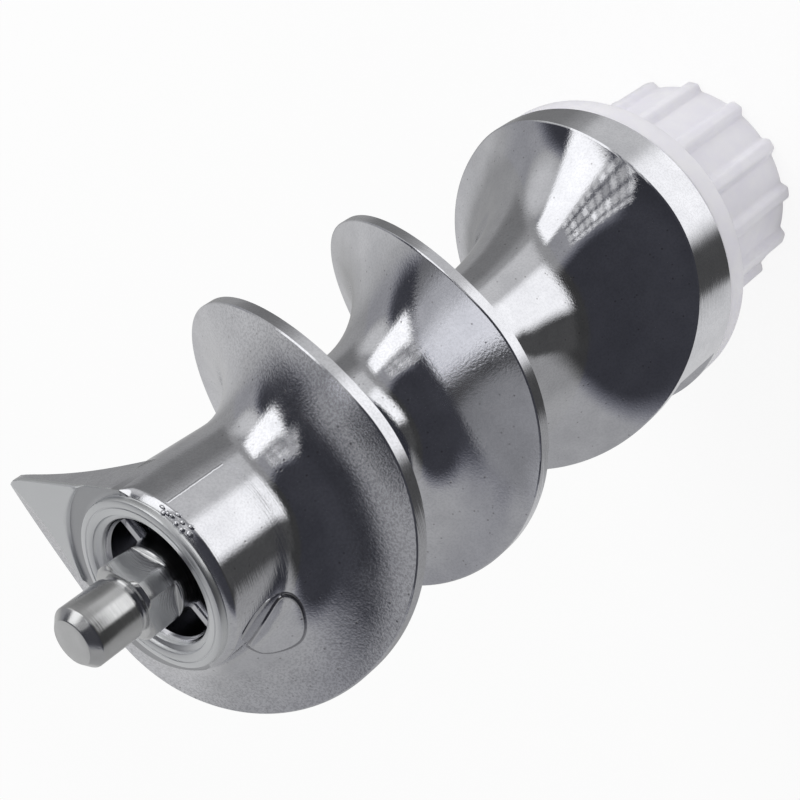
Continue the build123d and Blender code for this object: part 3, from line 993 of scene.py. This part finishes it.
# %% Steel
steel_finish = bpy.data.materials.new("stud_steel_finish")
steel_finish.use_nodes = True
tree = steel_finish.node_tree
shader = tree.nodes["Principled BSDF"]
shader.inputs["Metallic"].default_value = 1.0
lines = place_group(tree, lines_group, Lines_per_metre=9000.0)
grain = place_group(tree, grain_group, Grains_per_metre=6000.0)
tree.links.new(mix_colours(tree, map_range(tree, grain.outputs["Cloud"], 0.35, 0.65), (0.66, 0.665, 0.67),
                           (0.74, 0.745, 0.75)), shader.inputs["Base Color"])
tree.links.new(map_range(tree, lines.outputs["Height"], 0.3, 0.7, 0.10, 0.22), shader.inputs["Roughness"])
normal = bump_node(tree, grain.outputs["Height"], 0.000004)
tree.links.new(bump_node(tree, lines.outputs["Height"], 0.00001, normal), shader.inputs["Normal"])
stud.data.materials.append(steel_finish)

# %% White plastic
tree = plastic_finish.node_tree
shader = tree.nodes["Principled BSDF"]
shader.inputs["Roughness"].default_value = 0.42
shader.inputs["Subsurface Weight"].default_value = 0.25
shader.inputs["Subsurface Radius"].default_value = (0.004, 0.004, 0.0045)
shader.inputs["Subsurface Scale"].default_value = 1.0
grain = place_group(tree, grain_group, Grains_per_metre=1800.0)
tree.links.new(mix_colours(tree, map_range(tree, grain.outputs["Cloud"], 0.35, 0.65), (0.80, 0.785, 0.85),
                           (0.84, 0.83, 0.87)), shader.inputs["Base Color"])
tree.links.new(bump_node(tree, grain.outputs["Height"], 0.00001), shader.inputs["Normal"])

# %% [markdown]
# ## Camera
# The camera stands where the photograph was taken from. Its place, turn and lens were worked out from the
# edges of the lands, the flange, the collar and the pin. Its turn is given as its right, up and back axes.

# %% Camera
LENS, SENSOR = 72.48, 36.0
CAMERA_PLACE = (0.15593, 0.0, 0.20561)
CAMERA_AXES = [(0.51964, -0.59526, -0.61289), (0.38497, 0.80353, -0.45402), (0.76274, 0.0, 0.64670)]
eye = bpy.data.cameras.new("photo_camera")
eye.sensor_width = SENSOR
eye.lens = LENS
camera = bpy.data.objects.new("photo_camera", eye)
bpy.context.scene.collection.objects.link(camera)
camera.matrix_world = Matrix.Translation(CAMERA_PLACE) @ Matrix(CAMERA_AXES).transposed().to_4x4()
bpy.context.scene.camera = camera
print("camera at", tuple(round(v, 4) for v in camera.location))

# %% [markdown]
# ## What the metal mirrors
# Polished metal looks like its surroundings, so the studio is drawn as a few soft patches on the sky and
# floor: a large softbox on one side, a dark room behind the camera, and a paler wall opposite. Each patch has
# an azimuth, an elevation, the angles at which it starts and ends to fade, and a level. One node group gives
# the level for a direction, and the world and the floor both use it for mirrored rays. Every other ray sees
# a plain white studio.

# %% Surroundings group
BASE_LEVEL = 0.32
PATCHES = [
    ("pale wall", 177.0, 6.0, 16.0, 46.0, 0.56),
    ("pale floor", -130.0, -66.0, 28.0, 40.0, 0.65),
    ("left wall", -115.0, 15.0, 25.0, 48.0, 0.38),
    ("side wall", 117.0, 48.0, 17.0, 27.0, 0.05),
    ("softbox foot", 95.0, 10.0, 6.0, 22.0, 0.60),
    ("dark room", -33.0, 18.0, 40.0, 56.0, 0.045),
    ("dark ceiling", -20.0, 68.0, 18.0, 34.0, 0.05),
    ("zenith", 100.0, 80.0, 22.0, 33.0, 0.04),
    ("grey ceiling", 178.0, 66.0, 12.0, 19.0, 0.36),
]
FLOOR_PATCHES = [
    ("far side", 95.0, 0.0, 10.0, 26.0, 0.20),
    ("pale strip", 42.0, 0.0, 16.0, 26.0, 0.58),
    ("bright strip", 2.0, 0.0, 18.0, 32.0, 1.1),
    ("dark gap", -43.0, 0.0, 10.0, 17.0, 0.07),
]
LAMP_AZIMUTH, LAMP_ELEVATION, LAMP_LEAN = 62.0, 35.0, 0.4
SOFTBOX_SIDES, SOFTBOX_ENDS, SOFTBOX_LEVEL = (-0.07, 0.52), (-0.80, 0.36), 1.2
WINDOW_SIDES, WINDOW_ENDS = (-0.70, -0.10), (-0.40, 0.62)
PANE_WIDTH, PANE_HEIGHT, GLASS_LEVELS = 0.20, 0.105, (0.35, 1.1)
BAR_SHARE, BAR_BLUR, BAR_LEVEL = 0.22, 0.08, 0.06
around = bpy.data.node_groups.new("Studio surroundings", "ShaderNodeTree")
add_sockets(around, "Vector", ["Direction"])
add_sockets(around, "Float", ["Level"], "OUTPUT")
given = around.nodes.new("NodeGroupInput")
result = around.nodes.new("NodeGroupOutput")


def vector_node(tree, operation, *values):
    """A Vector Math node with its inputs linked or set; returns the output that its operation uses."""
    node = tree.nodes.new("ShaderNodeVectorMath")
    node.operation = operation
    for value, socket in zip(values, node.inputs):
        feed(tree, value, socket)
    return node.outputs["Value" if operation in ("DOT_PRODUCT", "LENGTH") else "Vector"]


def blend_level(tree, share, first, second):
    node = tree.nodes.new("ShaderNodeMix")
    for name, value in (("Factor", share), ("A", first), ("B", second)):
        feed(tree, value, node.inputs[name])
    return node.outputs["Result"]


def way_to(azimuth, elevation):
    """Unit vector towards an azimuth and an elevation in degrees."""
    a, e = math.radians(azimuth), math.radians(elevation)
    return Vector((math.cos(e) * math.cos(a), math.cos(e) * math.sin(a), math.sin(e)))


def add_patches(tree, direction, level, patches):
    """Blends soft round patches over a level; returns the new level."""
    for title, azimuth, elevation, inner, outer, brightness in patches:
        facing = vector_node(tree, "DOT_PRODUCT", direction, way_to(azimuth, elevation))
        facing.node.label = title
        inside, outside = math.cos(math.radians(inner)), math.cos(math.radians(outer))
        share = map_range(tree, facing, outside, inside, smooth=True)
        level = blend_level(tree, share, level, brightness)
    return level


level = add_patches(around, given.outputs["Direction"], BASE_LEVEL, PATCHES)

# %% [markdown]
# The bright side holds a tall softbox, and beside it a window with small panes. Both are drawn on a leaning
# plane that faces the screw: the direction is divided by its share along the plane's normal, which gives flat
# coordinates. Each shape is a pair of ranges in them, and a fraction of them gives the window's bars.

# %% Softbox and window
facing_axis = way_to(LAMP_AZIMUTH, LAMP_ELEVATION)
sideways = way_to(LAMP_AZIMUTH + 90.0, 0.0)
upward = facing_axis.cross(sideways)
LEAST_DEPTH, FULL_DEPTH = 0.05, 0.12


def between(tree, value, limits, soft):
    """1 inside a range and 0 outside it, with soft ends."""
    rise = map_range(tree, value, limits[0] - soft, limits[0] + soft, smooth=True)
    fall = map_range(tree, value, limits[1] - soft, limits[1] + soft, 1.0, 0.0, True)
    return math_node(tree, "MULTIPLY", rise, fall)


direction = given.outputs["Direction"]
ahead = vector_node(around, "DOT_PRODUCT", direction, facing_axis)
depth = math_node(around, "MAXIMUM", ahead, LEAST_DEPTH)
high = math_node(around, "DIVIDE", vector_node(around, "DOT_PRODUCT", direction, upward), depth)
wide = math_node(around, "DIVIDE", vector_node(around, "DOT_PRODUCT", direction, sideways), depth)
wide = math_node(around, "MULTIPLY_ADD", high, -LAMP_LEAN, wide)
in_front = map_range(around, ahead, LEAST_DEPTH, FULL_DEPTH)
soft_share = math_node(around, "MULTIPLY", between(around, wide, SOFTBOX_SIDES, 0.05),
                       between(around, high, SOFTBOX_ENDS, 0.08))
level = blend_level(around, math_node(around, "MULTIPLY", soft_share, in_front), level, SOFTBOX_LEVEL)
window_share = math_node(around, "MULTIPLY", between(around, wide, WINDOW_SIDES, 0.02),
                         between(around, high, WINDOW_ENDS, 0.02))
panes, cells = None, around.nodes.new("ShaderNodeCombineXYZ")
for name, flat, size in (("X", wide, PANE_WIDTH), ("Y", high, PANE_HEIGHT)):
    counted = math_node(around, "DIVIDE", flat, size)
    around.links.new(math_node(around, "FLOOR", counted), cells.inputs[name])
    pane = map_range(around, math_node(around, "PINGPONG", counted, 0.5), 0.5 * BAR_SHARE - BAR_BLUR,
                     0.5 * BAR_SHARE + BAR_BLUR, smooth=True)
    panes = pane if panes is None else math_node(around, "MULTIPLY", panes, pane)
chance = around.nodes.new("ShaderNodeTexWhiteNoise")
chance.noise_dimensions = "2D"
around.links.new(cells.outputs["Vector"], chance.inputs["Vector"])
sky_seen = map_range(around, chance.outputs["Value"], 0.0, 1.0, *GLASS_LEVELS)
glass = blend_level(around, panes, BAR_LEVEL, sky_seen)
level = blend_level(around, math_node(around, "MULTIPLY", window_share, in_front), level, glass)
around.links.new(level, result.inputs["Level"])
print("surroundings:", len(PATCHES), "patches, a softbox and a window,", len(around.nodes), "nodes")

# %% World
WHITE, ROOM_LIGHT = 1.0, 0.72
SHADE_TINT, SHADE_LEVELS = (0.90, 0.92, 1.12), (0.03, 0.4)
world = bpy.data.worlds.new("studio")
bpy.context.scene.world = world
world.use_nodes = True
tree = world.node_tree
sky = tree.nodes["Background"]
ray = tree.nodes.new("ShaderNodeLightPath")
direction = tree.nodes.new("ShaderNodeTexCoord").outputs["Generated"]
mirrored = place_group(tree, around)
tree.links.new(direction, mirrored.inputs["Direction"])
seen = math_node(tree, "MAXIMUM", ray.outputs["Is Camera Ray"], ray.outputs["Is Transmission Ray"])
plain = map_range(tree, seen, 0.0, 1.0, ROOM_LIGHT, WHITE)
level = blend_level(tree, ray.outputs["Is Glossy Ray"], plain, mirrored.outputs["Level"])
tree.links.new(level, sky.inputs["Strength"])
tint = mix_colours(tree, map_range(tree, level, *SHADE_LEVELS), SHADE_TINT, (1.0, 1.0, 1.0))
tree.links.new(tint, sky.inputs["Color"])

# %% Floor
FLOOR_LEVEL, FLOOR_SIDE = -0.00005, 1.5
FLOOR_CORNERS = [(-FLOOR_SIDE, -FLOOR_SIDE, 0), (FLOOR_SIDE, -FLOOR_SIDE, 0), (FLOOR_SIDE, FLOOR_SIDE, 0),
                 (-FLOOR_SIDE, FLOOR_SIDE, 0)]
SCREW_MIDDLE = (0.0, 0.0, 0.07)
NEAR_FADE, GLOW_FADE, OWN_GLOW = (0.24, 0.42), (0.25, 0.6), 0.86
floor_mesh = bpy.data.meshes.new("floor")
floor_mesh.from_pydata(FLOOR_CORNERS, [], [(0, 1, 2, 3)])
floor = bpy.data.objects.new("floor", floor_mesh)
floor.location.z = FLOOR_LEVEL
bpy.context.scene.collection.objects.link(floor)
paper = bpy.data.materials.new("white_floor")
paper.use_nodes = True
floor.data.materials.append(paper)
tree = paper.node_tree
shader = tree.nodes["Principled BSDF"]
shader.inputs["Base Color"].default_value = (0.9, 0.9, 0.9, 1.0)
shader.inputs["Roughness"].default_value = 0.9
shader.inputs["Specular IOR Level"].default_value = 0.0
ray = tree.nodes.new("ShaderNodeLightPath")
place = tree.nodes.new("ShaderNodeTexCoord").outputs["Object"]
from_screw = vector_node(tree, "SUBTRACT", place, SCREW_MIDDLE)
mirrored = place_group(tree, around)
tree.links.new(vector_node(tree, "NORMALIZE", from_screw), mirrored.inputs["Direction"])
along_floor = vector_node(tree, "MULTIPLY", from_screw, (1.0, 1.0, 0.0))
distance = vector_node(tree, "LENGTH", along_floor)
floor_way = vector_node(tree, "NORMALIZE", along_floor)
near_level = add_patches(tree, floor_way, mirrored.outputs["Level"], FLOOR_PATCHES)
far = map_range(tree, distance, *NEAR_FADE, smooth=True)
mirrored_level = blend_level(tree, far, near_level, mirrored.outputs["Level"])
glow = tree.nodes.new("ShaderNodeEmission")
glow_level = blend_level(tree, ray.outputs["Is Glossy Ray"], WHITE, mirrored_level)
tree.links.new(glow_level, glow.inputs["Strength"])
seen = math_node(tree, "MAXIMUM", ray.outputs["Is Camera Ray"], ray.outputs["Is Transmission Ray"])
own_glow = map_range(tree, distance, *GLOW_FADE, OWN_GLOW, 1.0, smooth=True)
share = math_node(tree, "MAXIMUM", math_node(tree, "MULTIPLY", seen, own_glow), ray.outputs["Is Glossy Ray"])
mix = tree.nodes.new("ShaderNodeMixShader")
tree.links.new(share, mix.inputs["Fac"])
tree.links.new(shader.outputs["BSDF"], mix.inputs[1])
tree.links.new(glow.outputs["Emission"], mix.inputs[2])
tree.links.new(mix.outputs["Shader"], tree.nodes["Material Output"].inputs["Surface"])

# %% Soft key light and view
lamp = bpy.data.lights.new("softbox_light", "AREA")
lamp.shape = "DISK"
lamp.size = 0.5
lamp.energy = 2.0
key = bpy.data.objects.new("softbox_light", lamp)
key.location = (0.12, 0.55, 0.45)
key.rotation_euler = (Vector((0.0, 0.0, 0.05)) - key.location).to_track_quat("-Z", "Y").to_euler()
key.visible_glossy = False
bpy.context.scene.collection.objects.link(key)
bpy.context.scene.view_settings.view_transform = "Standard"
